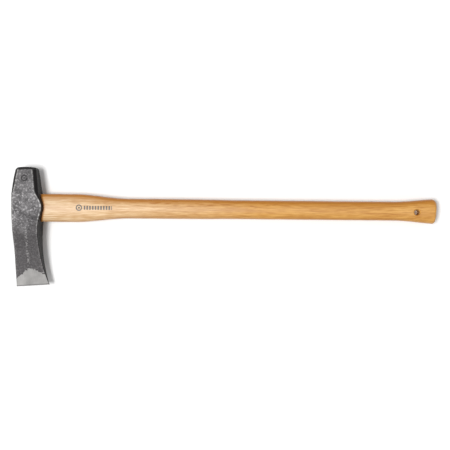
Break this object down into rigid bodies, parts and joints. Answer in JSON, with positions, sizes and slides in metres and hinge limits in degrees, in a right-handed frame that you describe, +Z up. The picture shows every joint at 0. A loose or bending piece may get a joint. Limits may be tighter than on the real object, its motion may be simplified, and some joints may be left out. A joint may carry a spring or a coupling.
{
  "type": "splitting maul",
  "caption": "Splitting maul with a forged wedge-shaped head, a hammer poll, a ground edge and a straight wooden handle with a knob and a hanging hole.",
  "frame": {"origin": "under the middle of the maul's bounding box, on the surface that it lies on with one cheek down", "axes": "+X along the handle from the head to the grip end, +Y from the splitting edge to the poll, +Z up through the cheeks"},
  "size_m": [0.8, 0.226, 0.058],
  "materials": {
    "forged_steel": "drop-forged steel with a grey hammer-scale skin, the edge bevel ground bright",
    "handle_wood": "straight-grained pale hardwood, sanded smooth and oiled",
    "wedge_wood": "darker hardwood, driven in across the end grain",
    "ring_steel": "turned mild steel, struck flush"
  },
  "bodies": {
    "root": {"maul_head": "forged_steel", "handle": "handle_wood", "wooden_wedge": "wedge_wood", "steel_ring_wedge": "ring_steel"}
  },
  "joints": []
}
